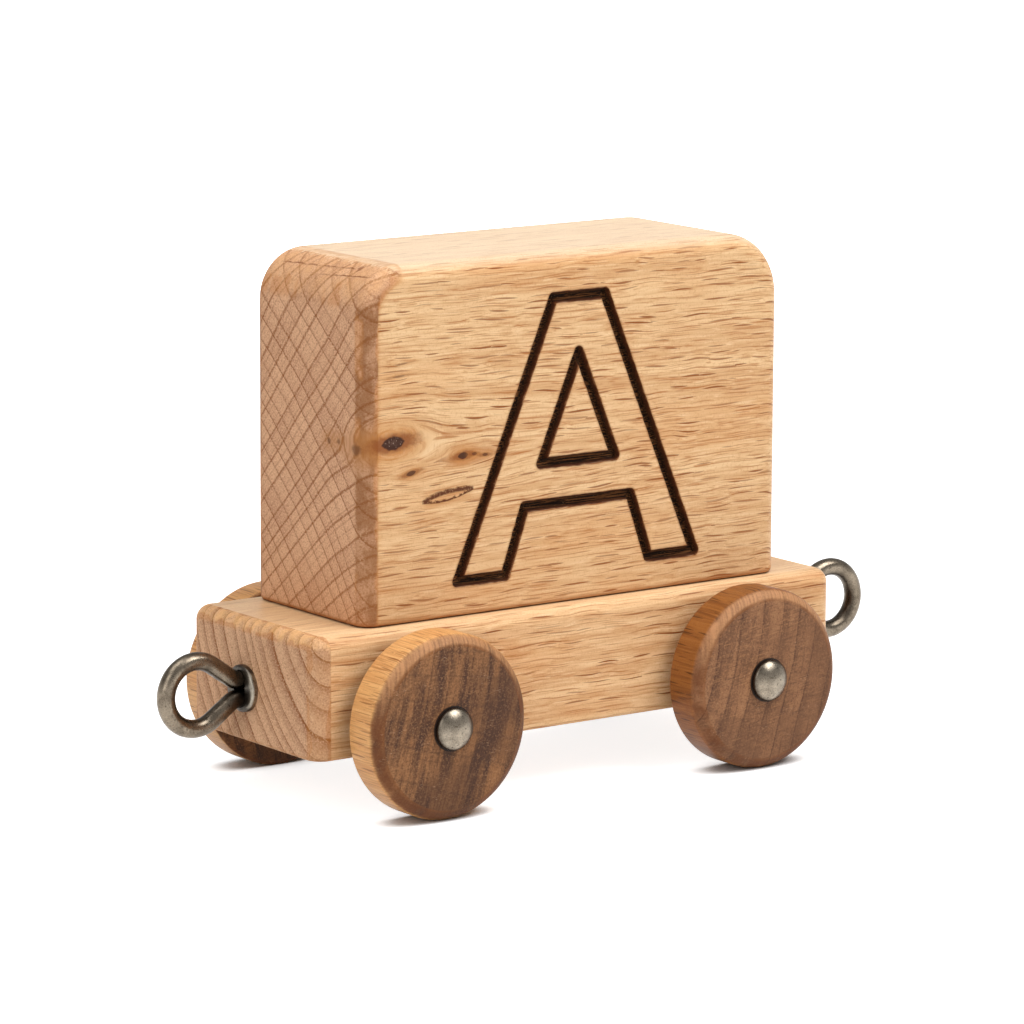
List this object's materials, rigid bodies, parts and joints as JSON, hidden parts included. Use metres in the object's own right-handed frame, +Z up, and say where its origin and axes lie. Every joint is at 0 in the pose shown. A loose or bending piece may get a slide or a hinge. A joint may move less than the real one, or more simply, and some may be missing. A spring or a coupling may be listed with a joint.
{
  "type": "wooden alphabet wagon",
  "caption": "Wooden letter block with an engraved outline letter, standing on a chassis bar with free wheels on domed nails and a wire coupling eye at each end.",
  "frame": {"origin": "on the floor under the middle of the wagon's whole length and width, between the wheels", "axes": "+X along the wagon to the right end, -Y the front with the letter, +Z up"},
  "size_m": [0.1174, 0.0502, 0.0727],
  "materials": {
    "beech_block": "fine-sanded oiled beech, end grain darker and pinkish",
    "beech_bar": "fine-sanded oiled beech",
    "dowel_wood": "plain turned beech, glued in",
    "brown_wood": "turned brown hardwood, satin oil",
    "antique_nickel": "antique nickel plate, satin",
    "washer_steel": "plain steel"
  },
  "bodies": {
    "chassis": {"chassis": "beech_bar", "letter_block": "beech_block", "dowel_left": "dowel_wood", "dowel_right": "dowel_wood", "axle_nail_front_left": "antique_nickel", "axle_nail_front_right": "antique_nickel", "axle_nail_back_left": "antique_nickel", "axle_nail_back_right": "antique_nickel", "washer_front_left": "washer_steel", "washer_front_right": "washer_steel", "washer_back_left": "washer_steel", "washer_back_right": "washer_steel", "eye_left": "antique_nickel", "eye_right": "antique_nickel", "eye_collar_left": "antique_nickel", "eye_collar_right": "antique_nickel"},
    "wheel_front_left": {"wheel_front_left": "brown_wood"},
    "wheel_front_right": {"wheel_front_right": "brown_wood"},
    "wheel_back_left": {"wheel_back_left": "brown_wood"},
    "wheel_back_right": {"wheel_back_right": "brown_wood"}
  },
  "joints": [
    {"name": "wheel_front_left_spin", "type": "hinge", "parent": "chassis", "child": "wheel_front_left", "pos_m": [-0.02877, -0.0202, 0.0125], "axis": [0, 1, 0], "continuous": true},
    {"name": "wheel_front_right_spin", "type": "hinge", "parent": "chassis", "child": "wheel_front_right", "pos_m": [0.02423, -0.0202, 0.0125], "axis": [0, 1, 0], "continuous": true},
    {"name": "wheel_back_left_spin", "type": "hinge", "parent": "chassis", "child": "wheel_back_left", "pos_m": [-0.02877, 0.0202, 0.0125], "axis": [0, 1, 0], "continuous": true},
    {"name": "wheel_back_right_spin", "type": "hinge", "parent": "chassis", "child": "wheel_back_right", "pos_m": [0.02423, 0.0202, 0.0125], "axis": [0, 1, 0], "continuous": true}
  ]
}
